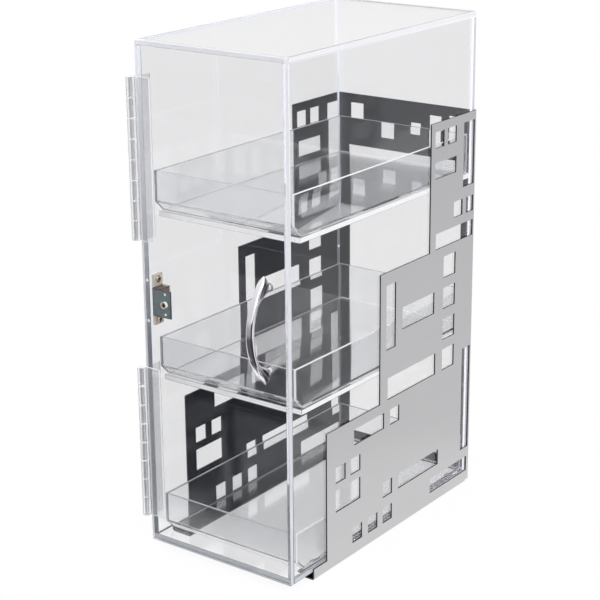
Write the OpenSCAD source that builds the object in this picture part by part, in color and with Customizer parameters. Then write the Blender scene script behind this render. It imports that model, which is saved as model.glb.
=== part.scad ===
// Tall three-tier counter display case of clear sheet with a hinged front door, three pull-out
// trays and a stepped steel sheet wrapped round the sides and the back.
// Millimetres. +Z is up and the door faces -Y. The origin is on the ground, under the middle of
// the whole object's outer box. Inside the modules X runs across the case from its middle, Y runs
// back from the door's front face and Z runs up from the underside of the case's floor.

/* [Case] */
// Width over the side walls
case_w = 165; // [150:1:220]
// Depth from the door's front face to the back wall's rear face
case_d = 304; // [290:1:360]
// Height of the clear case
case_h = 480; // [450:1:560]
// Thickness of the clear sheet
sheet_t = 5; // [4:0.5:6]
// Gap between the closed door and the walls' front edges
door_gap = 0.4; // [0.2:0.1:1]
// Distance of the shelves' front edges from the door's front face
shelf_setback = 22; // [16:1:40]

/* [Trays] */
// Height of a tray
tray_h = 39; // [30:1:60]
// Thickness of a tray's sheet
tray_t = 2.5; // [2:0.5:3]
// Distance of a tray's front from the door's front face
tray_setback = 15.5; // [12:0.5:20]
// Size of the sloping corner under a tray's front lip
tray_corner = 10; // [6:1:16]
// Gap between a tray and each side wall
tray_side_gap = 1.25; // [0.5:0.25:3]
// Gap between a tray and the back wall
tray_back_gap = 2; // [1:0.5:6]
// Running gap under a tray
tray_lift = 0.3; // [0.2:0.1:0.6]

/* [Steel sheet] */
// Thickness of the steel sheet
steel_t = 1.5; // [1:0.25:2]
// Gap between the case and the steel
steel_gap = 0.5; // [0.4:0.1:0.9]
// Inside radius of the sheet's bends
bend_r = 1.2; // [0.5:0.1:2]
// Width of the flanges under the case
flange_w = 22; // [18:1:30]
// Height of the rubber feet between the flanges and the case
bumper_h = 6.6; // [4:0.2:12]
// Diameter of the rubber feet
bumper_d = 12; // [8:1:14]
// Top of the lowest step above the case's underside
low_top = 130; // [128:1:136]
// Top of the middle step
middle_top = 258; // [254:1:264]
// Top of the highest step and of the back
high_top = 384; // [380:1:400]
// Distance of the lowest step's front edge from the sheet's rear face
low_run = 252; // [246:1:264]
// Distance of the middle step's front edge from the rear face
middle_run = 166; // [162:1:176]
// Distance of the highest step's front edge from the rear face
high_run = 82; // [80:1:100]
// Distance of the foot strip's front edge from the rear face
strip_run = 272.5; // [264:0.5:280]
// Top of the foot strip above the case's underside
strip_top = 3.3; // [2:0.1:4.5]
// Height of the band across the back behind the top tier
back_band_h = 53; // [45:1:54]
// Width of the strips that the side sheets turn round the rear corners
corner_strip_w = 17; // [12:1:20]
// Height of the strip across the foot of the back
back_foot_h = 22; // [16:1:30]
// Side of the small square cut-outs and height of the narrow slots
small_cut = 16; // [12:1:16]
// Side of the large square cut-outs and height of the wide slots
large_cut = 22; // [18:1:22]

/* [Hinges] */
// Outer diameter of the knuckles
knuckle_d = 7.8; // [7:0.1:8]
// Number of knuckles on each hinge
knuckle_count = 8; // [4:1:12]
// Gap between two knuckles
knuckle_gap = 0.4; // [0.2:0.1:1]
// Diameter of the hinge pins
pin_d = 3; // [2:0.1:4]
// Radial clearance round each pin
pin_clear = 0.05; // [0.02:0.01:0.1]
// Distance of the pin's axis out from the door's front face and from the left wall's outer face
pin_out = 3.2; // [3.1:0.1:4]
// Length of each hinge
hinge_len = 150; // [100:5:150]
// Height of the lower hinge's bottom end
lower_hinge_z = 26; // [10:1:50]
// Distance of the upper hinge's top end below the top of the case
upper_hinge_drop = 32; // [10:1:60]
// Thickness of the hinge leaves
leaf_t = 1.8; // [1.4:0.1:2.4]
// Reach of the wall leaf behind the door's front face
wall_leaf_w = 19; // [16:1:30]
// Reach of the door leaf from the case's left edge
door_leaf_w = 17; // [12:1:30]
// Gap between the door's left edge and the wall leaves
door_edge_gap = 0.3; // [0.2:0.1:0.8]

/* [Handle] */
// Distance of the handle's middle from the case's right edge
handle_inset = 22; // [14:1:40]
// Height of the handle's middle above the lower shelf
handle_rise = 77.5; // [62:0.5:90]
// Distance between the handle's screws
handle_pitch = 76; // [70:1:96]
// Greatest distance of the bow from the door
handle_reach = 27; // [24:1:34]
// Width of the bow
bow_w = 8; // [7:0.5:12]
// Thickness of the bow
bow_t = 5; // [4:0.5:6]
// Length of the bow's chord beyond each screw
bow_tail = 10; // [8:0.5:12]
// Diameter of the foot pads
foot_pad_d = 9; // [8:0.5:12]
// Diameter of the handle screws
handle_screw_d = 4; // [3:0.5:4]

/* [Catch] */
// Height of the catch's middle above the lower shelf
catch_rise = 76.5; // [68:0.5:90]
// Length of the catch bracket
bracket_len = 48; // [44:1:54]
// Thickness of the bracket's plate
bracket_t = 2.5; // [2:0.25:3]
// Width of the bracket's plate
bracket_w = 12; // [10:0.5:14]
// Distance between the bracket's screws
bracket_pitch = 39; // [37:0.5:40]
// Length of the magnet pack
magnet_len = 26; // [20:1:28]
// Reach of the magnet pack from the wall
magnet_reach = 11.5; // [10:0.5:12]
// Thickness of the pole plates
pole_t = 1.2; // [0.8:0.1:1.6]
// Gap between the pole plates and the strike plate
strike_gap = 0.4; // [0.2:0.1:0.8]
// Width of the strike plate
strike_w = 21.5; // [18:0.5:26]
// Height of the strike plate
strike_h = 26; // [20:1:30]
// Thickness of the strike plate
strike_t = 1.5; // [1:0.1:2]
// Distance of the strike plate from the case's left edge
strike_inset = 8.5; // [7:0.5:10]
// Diameter of the catch and strike screws
small_screw_d = 3.2; // [2.5:0.1:3.5]

/* [Hidden] */
$fn = 48;
eps = 1;

half_w = case_w / 2;
inner_w = case_w - 2 * sheet_t;
front_y = sheet_t + door_gap;
rear_y = case_d - sheet_t;

tier_h = (case_h - 4 * sheet_t) / 3;
floor_top = sheet_t;
lower_shelf_top = floor_top + tier_h + sheet_t;
upper_shelf_top = lower_shelf_top + tier_h + sheet_t;

tray_w = inner_w - 2 * tray_side_gap;
tray_d = rear_y - tray_back_gap - tray_setback;
lip_half = tray_w / 2 - tray_t;

bend_out = bend_r + steel_t;
steel_x = half_w + steel_gap + steel_t;
steel_rear = case_d + steel_gap + steel_t;
ground_z = -(bumper_h + steel_t);
flange_end = 8;
back_margin = 4;
bumper_inset = 10;
// Glue line or seat under the fittings that stand on the clear sheet
seat_gap = 0.05;

pin_x = -half_w - pin_out;
pin_y = -pin_out;
knuckle_pitch = (hinge_len + knuckle_gap) / knuckle_count;
upper_hinge_z = case_h - upper_hinge_drop - hinge_len;
web_in = 0.5;
web_out = 1;

handle_x = half_w - handle_inset;
handle_z = lower_shelf_top + handle_rise;
half_chord = handle_pitch / 2 + bow_tail;
bow_sag = handle_reach - bow_t;
bow_r = (half_chord * half_chord + bow_sag * bow_sag) / (2 * bow_sag);
bow_centre_y = bow_r + bow_t / 2 - handle_reach;
bow_angle = asin(half_chord / bow_r);
pad_t = 1.2;
foot_inner = handle_pitch / 2 - 10;
foot_outer = handle_pitch / 2 + 7;
thread_depth = 7;
screw_clear = 0.05;
hole_clear = 0.15;
head_gap = 0.05;

catch_z = lower_shelf_top + catch_rise;
strike_x = -half_w + strike_inset;
strike_y = sheet_t + strike_t;
pole_y = strike_y + strike_gap;
pack_x = -inner_w / 2 + bracket_t;
pack_w = magnet_reach - bracket_t;
bracket_y = pole_y + 2;
pack_d = bracket_w + 0.5;
bracket_wall = 1.6;
strike_screw_x = strike_x + strike_w * 0.7;
sunk_head_d = 1.8 * small_screw_d;
small_bore_d = small_screw_d + 2 * screw_clear;

// Moves from the case's own axes to the part's axes: the outer box spans from the left knuckles to
// the right steel face, and from the handle's bow to the steel's rear face.
box_left = pin_x - knuckle_d / 2;
place_x = -(box_left + steel_x) / 2;
place_y = -(steel_rear - handle_reach) / 2;
module placed() {
    translate([place_x, place_y, -ground_z]) children();
}

module box(x, y, z) {
    translate([x[0], y[0], z[0]]) cube([x[1] - x[0], y[1] - y[0], z[1] - z[0]]);
}

// Clear panels of the case
module left_wall() {
    color([0.86, 0.89, 0.92, 0.35]) placed() difference() {
        box([-half_w, -inner_w / 2], [front_y, rear_y], [sheet_t, case_h - sheet_t]);
        for (side = [-1, 1])
            translate([-half_w - eps, bracket_y + bracket_w / 2, catch_z + side * bracket_pitch / 2])
                rotate([0, 90, 0]) cylinder(d = small_screw_d + 2 * screw_clear, h = sheet_t + 2 * eps);
    }
}

module right_wall() {
    color([0.86, 0.89, 0.92, 0.35]) placed()
        box([inner_w / 2, half_w], [front_y, rear_y], [sheet_t, case_h - sheet_t]);
}

module back_wall() {
    color([0.86, 0.89, 0.92, 0.35]) placed()
        box([-half_w, half_w], [rear_y, case_d], [sheet_t, case_h - sheet_t]);
}

module top_panel() {
    color([0.88, 0.9, 0.93, 0.35]) placed()
        box([-half_w, half_w], [front_y, case_d], [case_h - sheet_t, case_h]);
}

module bottom_panel() {
    color([0.88, 0.9, 0.93, 0.35]) placed()
        box([-half_w, half_w], [front_y, case_d], [0, sheet_t]);
}

module shelf(top_z) {
    placed() box([-inner_w / 2, inner_w / 2], [shelf_setback, rear_y], [top_z - sheet_t, top_z]);
}

module upper_shelf() {
    color([0.9, 0.92, 0.95, 0.45]) shelf(upper_shelf_top);
}

module lower_shelf() {
    color([0.9, 0.92, 0.95, 0.45]) shelf(lower_shelf_top);
}

// Outline of a tray seen from its side: the lower front corner is cut at 45 degrees, by `inset`
// further in all round for the inside of the bent sheet.
module tray_outline(inset, top) {
    run = tray_corner + inset * (sqrt(2) - 1);
    polygon([[inset, top], [inset, run], [run, inset], [tray_d - inset, inset], [tray_d - inset, top]]);
}

// Places a shape drawn in the tray's side view, x back and y up, across the width from -half to half
module across(half) {
    rotate([90, 0, 90]) translate([0, 0, -half]) linear_extrude(2 * half) children();
}

// Bent sheet of a tray: front lip, sloping corner, floor and back lip
module tray_sheet(floor_z) {
    placed() translate([0, tray_setback, floor_z + tray_lift]) across(lip_half) difference() {
        tray_outline(0, tray_h);
        tray_outline(tray_t, tray_h + eps);
    }
}

// Two side panels of a tray
module tray_sides(floor_z) {
    placed() translate([0, tray_setback, floor_z + tray_lift])
        for (side = [-1, 1])
            translate([side * (lip_half + tray_t / 2), 0, 0]) across(tray_t / 2) tray_outline(0, tray_h);
}

module upper_tray() {
    color([0.88, 0.9, 0.93, 0.4]) tray_sheet(upper_shelf_top);
}

module upper_tray_sides() {
    color([0.88, 0.9, 0.93, 0.4]) tray_sides(upper_shelf_top);
}

module middle_tray() {
    color([0.88, 0.9, 0.93, 0.4]) tray_sheet(lower_shelf_top);
}

module middle_tray_sides() {
    color([0.88, 0.9, 0.93, 0.4]) tray_sides(lower_shelf_top);
}

module lower_tray() {
    color([0.88, 0.9, 0.93, 0.4]) tray_sheet(floor_top);
}

module lower_tray_sides() {
    color([0.88, 0.9, 0.93, 0.4]) tray_sides(floor_top);
}

// Rectangle by its near corner and size in a flat pattern
module cut_out(u, z, w, h) {
    translate([u, z]) square([w, h]);
}

// Side of the steel sheet in the flat: u runs forward from the sheet's rear face and z runs up.
// The cut-outs hang from the top of their own step.
module side_pattern() {
    difference() {
        polygon([[bend_out, ground_z + bend_out], [strip_run, ground_z + bend_out],
                 [strip_run, strip_top], [low_run, strip_top], [low_run, low_top],
                 [middle_run, low_top], [middle_run, middle_top], [high_run, middle_top],
                 [high_run, high_top], [bend_out, high_top]]);
        translate([0, high_top]) high_cuts();
        translate([0, middle_top]) middle_cuts();
        translate([0, low_top]) low_cuts();
    }
}

// Cut-outs of the highest step, from its front edge or from the sheet's rear, and down from its top
module high_cuts() {
    cut_out(high_run - 22.5, -24.5, small_cut, small_cut);
    cut_out(37.5, -24.5, small_cut, small_cut);
    cut_out(back_margin, -72.5, 20, 64);
    cut_out(37, -54.5, high_run - 44, small_cut);
    cut_out(24, -100, small_cut, small_cut);
    cut_out(back_margin, -100, 13.5, small_cut);
    cut_out(back_margin, -125, high_run - 14, small_cut);
}

// Cut-outs of the middle step: a column of large squares at an even pitch, a slot and two windows
module middle_cuts() {
    for (row = [0:3])
        cut_out(35, -31 - 32 * row, large_cut, large_cut);
    cut_out(middle_run - 25.5, -76.5, small_cut, 64);
    cut_out(73, -63, middle_run - 110, large_cut);
    cut_out(69.5, -127, middle_run - 82, large_cut);
}

// Cut-outs of the lowest step
module low_cuts() {
    cut_out(back_margin, -98.5, 15, 111);
    cut_out(133, -26, small_cut, small_cut);
    cut_out(159, -26, low_run - 202, small_cut);
    cut_out(low_run - 29.5, -54, small_cut, small_cut);
    cut_out(low_run - 53.5, -54, small_cut, small_cut);
    cut_out(low_run - 53.5, -83, 40, large_cut);
    cut_out(144.5, -98, small_cut, small_cut);
    cut_out(61.5, -98, 72.5, small_cut);
    cut_out(6, -125, 70, small_cut);
    cut_out(144.5, -125, small_cut, small_cut);
    cut_out(169.5, -125, small_cut, small_cut);
    cut_out(low_run - 56.5, -125, small_cut, small_cut);
}

// Back of the steel sheet in the flat: u runs to the right from the middle
module back_pattern() {
    difference() {
        translate([-steel_x + bend_out, ground_z + bend_out])
            square([2 * (steel_x - bend_out), high_top - ground_z - bend_out]);
        translate([0, high_top]) back_band_cuts();
        back_window();
    }
}

// Small cut-outs of the band behind the top tier
module back_band_cuts() {
    cut_out(7, -33, 12, 12);
    cut_out(29, -46, 14, 35);
    cut_out(steel_x - 33, -46, small_cut, 37);
    cut_out(-28, -41, small_cut, small_cut);
    cut_out(-66, -25, small_cut, small_cut);
}

// Open part of the back below the band, between the corner strips and over the foot
module back_window() {
    half = steel_x - corner_strip_w;
    foot = ground_z + back_foot_h;
    cut_out(-half, foot, 2 * half, high_top - back_band_h - foot);
}

// Quarter of a bent edge with its axis along Z, from angle 0 to 90 degrees, `len` long
module bend(len) {
    intersection() {
        difference() {
            cylinder(r = bend_out, h = len);
            translate([0, 0, -eps]) cylinder(r = bend_r, h = len + 2 * eps);
        }
        cube([bend_out + eps, bend_out + eps, len]);
    }
}

// Right half of the sheet's side, rear bend and flange
module steel_side() {
    translate([steel_x, steel_rear, 0]) rotate([90, 0, -90]) linear_extrude(steel_t) side_pattern();
    translate([steel_x - bend_out, steel_rear - bend_out, ground_z + bend_out])
        bend(high_top - ground_z - bend_out);
    translate([steel_x - bend_out, steel_rear - strip_run, ground_z + bend_out])
        rotate([-90, 0, 0]) bend(strip_run - flange_end);
    box([steel_x - flange_w, steel_x - bend_out], [steel_rear - strip_run, steel_rear - flange_end],
        [ground_z, ground_z + steel_t]);
}

// Steel sheet bent round both sides and the back, with flanges under the case
module steel_wrap() {
    color([0.72, 0.72, 0.74]) placed() {
        steel_side();
        mirror([1, 0, 0]) steel_side();
        translate([0, steel_rear, 0]) rotate([90, 0, 0]) linear_extrude(steel_t) back_pattern();
    }
}

// Rubber discs between the flanges and the case's floor
module bumper_feet() {
    front_foot_y = steel_rear - strip_run + bumper_d;
    rear_foot_y = case_d - 2 * bumper_d;
    color([0.12, 0.12, 0.13]) placed()
        for (side = [-1, 1], foot_y = [front_foot_y, rear_foot_y])
            translate([side * (half_w - bumper_inset), foot_y, -bumper_h])
                cylinder(d1 = bumper_d, d2 = bumper_d - 1, h = bumper_h - seat_gap);
}

// Door that covers the whole front
module door_panel() {
    color([0.86, 0.89, 0.92, 0.35]) placed() difference() {
        box([-half_w + door_edge_gap, half_w], [0, sheet_t], [0, case_h]);
        for (side = [-1, 1])
            translate([handle_x, -eps, handle_z + side * handle_pitch / 2])
                rotate([-90, 0, 0]) cylinder(d = handle_screw_d + 2 * hole_clear, h = sheet_t + 2 * eps);
        translate([strike_screw_x, 0, catch_z]) rotate([90, 0, 0]) {
            translate([0, 0, -sheet_t - eps]) cylinder(d = small_bore_d, h = sheet_t + 2 * eps);
            sunk_head(small_bore_d, sunk_head_d + 4 * screw_clear + 2 * eps, eps);
        }
    }
}

// One hinge leaf's knuckles: the wall leaf has the even ones and the door leaf the odd ones
module knuckles(first, web_x, web_y) {
    for (i = [first:2:knuckle_count - 1])
        translate([0, 0, i * knuckle_pitch]) difference() {
            union() {
                cylinder(d = knuckle_d, h = knuckle_pitch - knuckle_gap);
                box(web_x, web_y, [0, knuckle_pitch - knuckle_gap]);
            }
            translate([0, 0, -eps])
                cylinder(d = pin_d + 2 * pin_clear, h = knuckle_pitch - knuckle_gap + 2 * eps);
        }
}

// Leaf glued to the left wall's outer face, drawn from the pin's axis
module wall_leaf(z) {
    placed() translate([pin_x, pin_y, z]) {
        knuckles(0, [pin_out - leaf_t, pin_out - seat_gap], [pin_out - web_in, pin_out + front_y]);
        box([pin_out - leaf_t, pin_out - seat_gap], [pin_out + web_out, pin_out + wall_leaf_w],
            [0, hinge_len]);
    }
}

// Leaf glued to the door's front face, drawn from the pin's axis
module door_leaf(z) {
    placed() translate([pin_x, pin_y, z]) {
        knuckles(1, [pin_out - web_in, pin_out + 2 * web_out], [pin_out - leaf_t, pin_out - seat_gap]);
        box([pin_out + web_out, pin_out + door_leaf_w], [pin_out - leaf_t, pin_out - seat_gap],
            [0, hinge_len]);
    }
}

module hinge_pin(z) {
    placed() translate([pin_x, pin_y, z]) cylinder(d = pin_d, h = hinge_len);
}

module upper_hinge_wall_leaf() {
    color([0.84, 0.87, 0.9, 0.5]) wall_leaf(upper_hinge_z);
}

module upper_hinge_door_leaf() {
    color([0.84, 0.87, 0.9, 0.5]) door_leaf(upper_hinge_z);
}

module upper_hinge_pin() {
    color([0.8, 0.83, 0.86]) hinge_pin(upper_hinge_z);
}

module lower_hinge_wall_leaf() {
    color([0.84, 0.87, 0.9, 0.5]) wall_leaf(lower_hinge_z);
}

module lower_hinge_door_leaf() {
    color([0.84, 0.87, 0.9, 0.5]) door_leaf(lower_hinge_z);
}

module lower_hinge_pin() {
    color([0.8, 0.83, 0.86]) hinge_pin(lower_hinge_z);
}

// Height of the bow's middle line above the door, at a distance z from the handle's middle
function bow_y(z) = bow_centre_y - sqrt(bow_r * bow_r - z * z);

// Foot of the handle: a fin that spreads from a round pad on the door to the end of the bow, whose
// tip stands clear of the door
module handle_foot(side) {
    hull() {
        translate([0, -pad_t, side * (handle_pitch / 2 + 1)]) rotate([-90, 0, 0])
            cylinder(d = foot_pad_d, h = pad_t, $fn = 32);
        for (z = [foot_inner, foot_outer])
            translate([-bow_w / 2, bow_y(z), side * z]) rotate([0, 90, 0])
                cylinder(d = bow_t, h = bow_w, $fn = 32);
    }
}

// Bow pull: a round-edged strap bent to an arc, with a foot at each end
module handle() {
    color([0.85, 0.86, 0.88]) placed() translate([handle_x, 0, handle_z]) difference() {
        union() {
            translate([0, bow_centre_y, 0]) rotate([0, 90, 0]) rotate([0, 0, -90 - bow_angle])
                rotate_extrude(angle = 2 * bow_angle, $fn = 96) translate([bow_r, 0]) bow_section();
            for (side = [-1, 1]) handle_foot(side);
        }
        for (side = [-1, 1])
            translate([0, -thread_depth, side * handle_pitch / 2]) rotate([-90, 0, 0])
                cylinder(d = handle_screw_d + 2 * screw_clear, h = thread_depth + eps);
        box([-bow_w, bow_w], [-seat_gap, bow_t], [-half_chord - bow_w, half_chord + bow_w]);
    }
}

// Section of the bow: a flat with half-round edges
module bow_section() {
    edge_y = (bow_w - bow_t) / 2;
    square([bow_t, 2 * edge_y], center = true);
    for (side = [-1, 1])
        translate([0, side * edge_y]) circle(d = bow_t);
}

// Cross-head screw that points along -Z, with the underside of its head at z = 0
module cross_screw(d, head_d, head_h, len) {
    slot_w = head_d * 0.16;
    slot_l = head_d * 0.6;
    translate([0, 0, -len]) cylinder(d = d, h = len + eps / 2);
    difference() {
        cylinder(d1 = head_d, d2 = head_d * 0.72, h = head_h);
        for (turn = [0, 90])
            rotate([0, 0, turn]) translate([-slot_l / 2, -slot_w / 2, head_h * 0.45])
                cube([slot_l, slot_w, head_h]);
    }
}

// Cone of a sunk screw head, 45 degrees to the axis, with its flat top at the height `top`
module sunk_head(d, head_d, top) {
    sink = (head_d - d) / 2;
    translate([0, 0, top - sink]) cylinder(d1 = d, d2 = head_d, h = sink);
}

// Screws from inside the door into the handle's feet
module handle_screws() {
    color([0.75, 0.76, 0.78]) placed()
        for (side = [-1, 1])
            translate([handle_x, sheet_t + head_gap, handle_z + side * handle_pitch / 2]) rotate([-90, 0, 0])
                cross_screw(handle_screw_d, 2 * handle_screw_d, 2.6, sheet_t + thread_depth - 0.5);
}

// Plastic bracket on the left wall: a plate with two screw ears and a wall behind the magnet
module catch_bracket() {
    color([0.9, 0.87, 0.8]) placed() difference() {
        union() {
            box([-inner_w / 2 + seat_gap, pack_x], [bracket_y, bracket_y + bracket_w],
                [catch_z - bracket_len / 2, catch_z + bracket_len / 2]);
            box([-inner_w / 2 + seat_gap, pack_x + pack_w], [pole_y + pack_d, pole_y + pack_d + bracket_wall],
                [catch_z - magnet_len / 2, catch_z + magnet_len / 2]);
        }
        for (side = [-1, 1])
            translate([-inner_w / 2 - eps, bracket_y + bracket_w / 2, catch_z + side * bracket_pitch / 2])
                rotate([0, 90, 0]) cylinder(d = small_screw_d + 2 * hole_clear, h = bracket_t + 2 * eps);
    }
}

// Magnet block between the pole plates
module catch_magnet() {
    color([0.5, 0.4, 0.32]) placed()
        box([pack_x + pole_t, pack_x + pack_w - pole_t], [pole_y + pole_t, pole_y + pack_d],
            [catch_z - magnet_len / 2 + 1, catch_z + magnet_len / 2 - 1]);
}

// Steel plates on the magnet's two sides
module catch_pole_plates() {
    color([0.78, 0.78, 0.78]) placed()
        for (x = [pack_x, pack_x + pack_w - pole_t])
            box([x, x + pole_t], [pole_y, pole_y + pack_d],
                [catch_z - magnet_len / 2, catch_z + magnet_len / 2]);
}

// Screws through the bracket's ears into the wall
module catch_screws() {
    color([0.75, 0.74, 0.72]) placed()
        for (side = [-1, 1])
            translate([pack_x + head_gap, bracket_y + bracket_w / 2, catch_z + side * bracket_pitch / 2])
                rotate([0, 90, 0])
                    cross_screw(small_screw_d, 2.2 * small_screw_d, 2, bracket_t + sheet_t - 0.5);
}

// Plate on the door's inner face that the magnet pulls on, with two small holes
module strike_plate() {
    hole_z = strike_h / 2 - 3.3;
    color([0.5, 0.56, 0.57]) placed() difference() {
        box([strike_x, strike_x + strike_w], [sheet_t + seat_gap, strike_y],
            [catch_z - strike_h / 2, catch_z + strike_h / 2]);
        translate([strike_screw_x, sheet_t - eps, catch_z]) rotate([-90, 0, 0])
            cylinder(d = small_bore_d, h = strike_t + 2 * eps);
        for (side = [-1, 1])
            translate([strike_screw_x, sheet_t - eps, catch_z + side * hole_z])
                rotate([-90, 0, 0]) cylinder(d = 3, h = strike_t + 2 * eps);
    }
}

// Screw from outside the door into the strike plate, with its cross-head sunk in the door
module strike_screw() {
    slot_w = sunk_head_d * 0.18;
    slot_l = sunk_head_d * 0.62;
    len = sheet_t + strike_t - 2 * head_gap;
    color([0.76, 0.75, 0.72]) placed()
        translate([strike_screw_x, head_gap, catch_z]) rotate([90, 0, 0]) difference() {
            union() {
                translate([0, 0, -len]) cylinder(d = small_screw_d, h = len - eps);
                sunk_head(small_screw_d - eps, sunk_head_d, 0);
            }
            for (turn = [0, 90])
                rotate([0, 0, turn]) translate([-slot_l / 2, -slot_w / 2, -1])
                    cube([slot_l, slot_w, 2]);
        }
}

left_wall();
right_wall();
back_wall();
top_panel();
bottom_panel();
upper_shelf();
lower_shelf();
steel_wrap();
bumper_feet();
upper_tray();
upper_tray_sides();
middle_tray();
middle_tray_sides();
lower_tray();
lower_tray_sides();
door_panel();
handle();
handle_screws();
upper_hinge_wall_leaf();
upper_hinge_door_leaf();
upper_hinge_pin();
lower_hinge_wall_leaf();
lower_hinge_door_leaf();
lower_hinge_pin();
catch_bracket();
catch_magnet();
catch_pole_plates();
catch_screws();
strike_plate();
strike_screw();
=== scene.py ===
"""Looks of a tall clear display case with three tiers, pull-out trays, a hinged door and a steel wrap."""

import math

import bmesh
import bpy
import numpy as np
from mathutils import Matrix, Vector


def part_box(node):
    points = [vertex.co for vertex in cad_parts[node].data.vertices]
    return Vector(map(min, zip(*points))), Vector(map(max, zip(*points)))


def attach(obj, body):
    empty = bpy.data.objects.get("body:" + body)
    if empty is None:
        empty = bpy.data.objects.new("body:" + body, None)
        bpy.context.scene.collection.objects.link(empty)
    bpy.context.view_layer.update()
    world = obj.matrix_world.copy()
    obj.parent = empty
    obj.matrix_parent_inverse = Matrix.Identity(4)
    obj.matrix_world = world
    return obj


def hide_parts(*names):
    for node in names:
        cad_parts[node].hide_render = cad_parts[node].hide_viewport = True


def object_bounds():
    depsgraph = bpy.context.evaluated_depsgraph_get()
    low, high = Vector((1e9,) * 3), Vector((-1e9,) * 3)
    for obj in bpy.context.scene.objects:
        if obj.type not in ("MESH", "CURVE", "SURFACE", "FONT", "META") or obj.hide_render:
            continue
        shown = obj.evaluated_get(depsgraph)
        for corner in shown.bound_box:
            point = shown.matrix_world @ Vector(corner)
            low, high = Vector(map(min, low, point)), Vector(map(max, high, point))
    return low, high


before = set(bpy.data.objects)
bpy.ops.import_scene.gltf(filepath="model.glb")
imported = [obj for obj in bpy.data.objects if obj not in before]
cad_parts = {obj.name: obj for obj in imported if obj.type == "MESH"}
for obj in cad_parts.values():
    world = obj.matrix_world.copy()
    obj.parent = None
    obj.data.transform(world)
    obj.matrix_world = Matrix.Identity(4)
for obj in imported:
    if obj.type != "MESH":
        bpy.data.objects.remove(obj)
cad_lo, cad_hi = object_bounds()


# Case panels: five sheets of 5 mm clear acrylic and two shelves, cut with polished edges and glued with
# solvent, which leaves a clean joint. The broad faces are near colourless. The light that the edges
# gather is painted: milky rims and thin arris lines, lighter or darker from panel to panel and from
# place to place, with a painted glow. The left wall is bored for the catch's two screws, and the bores'
# frost shows in its front rim.

MM = 0.001
X, Y, Z = range(3)
WHITE, BLACK = (1.0, 1.0, 1.0), (0.0, 0.0, 0.0)


class Wire:
    """One output socket of a material's nodes. A sum on it adds the Math node that works it out."""

    def __init__(self, finish, socket):
        self.finish, self.socket = finish, socket

    def math(self, operation, *values):
        return self.finish.add("ShaderNodeMath", {"operation": operation}, dict(enumerate(values)))

    def __add__(self, other):
        return self.math("ADD", self, other)

    def __radd__(self, other):
        return self.math("ADD", other, self)

    def __sub__(self, other):
        return self.math("SUBTRACT", self, other)

    def __rsub__(self, other):
        return self.math("SUBTRACT", other, self)

    def __mul__(self, other):
        return self.math("MULTIPLY", self, other)

    def __rmul__(self, other):
        return self.math("MULTIPLY", other, self)

    def __truediv__(self, other):
        return self.math("DIVIDE", self, other)

    def __abs__(self):
        return self.math("ABSOLUTE", self)

    def least(self, other):
        return self.math("MINIMUM", self, other)

    def most(self, other):
        return self.math("MAXIMUM", self, other)

    def root(self):
        return self.math("SQRT", self)

    def ramp(self, low, high):
        """0 below `low`, 1 above `high`, and a smooth step between them."""
        return self.finish.add(
            "ShaderNodeMapRange",
            {"interpolation_type": "SMOOTHSTEP", "clamp": True},
            {"Value": self, "From Min": low, "From Max": high, "To Min": 0.0, "To Max": 1.0},
        )


class Finish:
    """The nodes of one kind of surface, or those of the studio round it where `owner` is the world."""

    def __init__(self, name, owner=None):
        self.owner = owner or bpy.data.materials.new(name)
        self.owner.use_nodes = True
        self.tree = self.owner.node_tree
        self.tree.nodes.clear()

    def add(self, kind, settings=None, inputs=None, output=0):
        """Adds a node: its settings first, then the values or links of its sockets. Gives one output."""
        node = self.tree.nodes.new(kind)
        for key, value in (settings or {}).items():
            setattr(node, key, value)
        for key, value in (inputs or {}).items():
            socket = node.inputs[key]
            if isinstance(value, Wire):
                self.tree.links.new(value.socket, socket)
            elif isinstance(value, tuple) and socket.type == "RGBA":
                socket.default_value = (*value, 1.0)
            else:
                socket.default_value = value
        return Wire(self, node.outputs[output]) if node.outputs else None

    def place(self):
        """Position in metres, which is the object's own as every piece sits at the origin."""
        return self.add("ShaderNodeTexCoord", output="Object")

    def ray(self, question):
        """What the Light Path node says of a ray, by the name of its output."""
        return self.add("ShaderNodeLightPath", output=question)

    def mark(self, name):
        """The number that the mesh's points carry under that name."""
        return self.add("ShaderNodeAttribute", {"attribute_name": name}, output="Fac")

    def parts(self, vector):
        split = self.add("ShaderNodeSeparateXYZ", None, {0: vector}).socket.node
        return [Wire(self, output) for output in split.outputs]

    def blend(self, share, first, second):
        """Colour that goes from `first` to `second` with `share`."""
        return self.add(
            "ShaderNodeMix", {"data_type": "RGBA"}, {0: share, 6: first, 7: second}, output=2
        )

    def noise(self, vector, scale, detail=2.0, stretch=(1.0, 1.0, 1.0)):
        """Noise of about `scale` waves to the metre, stretched by the three factors."""
        moved = self.add("ShaderNodeVectorMath", {"operation": "MULTIPLY"}, {0: vector, 1: stretch})
        return self.add(
            "ShaderNodeTexNoise", None, {"Vector": moved, "Scale": scale, "Detail": detail}, "Fac"
        )

    def bump(self, height, distance, strength=1.0):
        return self.add(
            "ShaderNodeBump", None, {"Height": height, "Distance": distance, "Strength": strength}
        )

    def shade(self, **inputs):
        """The Principled shader, its sockets named with underscores for spaces."""
        sockets = {key.replace("_", " "): value for key, value in inputs.items()}
        return self.add("ShaderNodeBsdfPrincipled", None, sockets)

    def mix(self, share, first, second):
        """Shader that goes from `first` to `second` with `share`."""
        return self.add("ShaderNodeMixShader", None, {0: share, 1: first, 2: second})

    def done(self, shader):
        self.add("ShaderNodeOutputMaterial", None, {"Surface": shader})
        return self.owner


def dress(node, material):
    """Gives a CAD node its finish in every material slot."""
    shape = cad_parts[node]
    for k in range(len(shape.material_slots)):
        shape.material_slots[k].material = material
    if not shape.material_slots:
        shape.data.materials.append(material)


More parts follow.
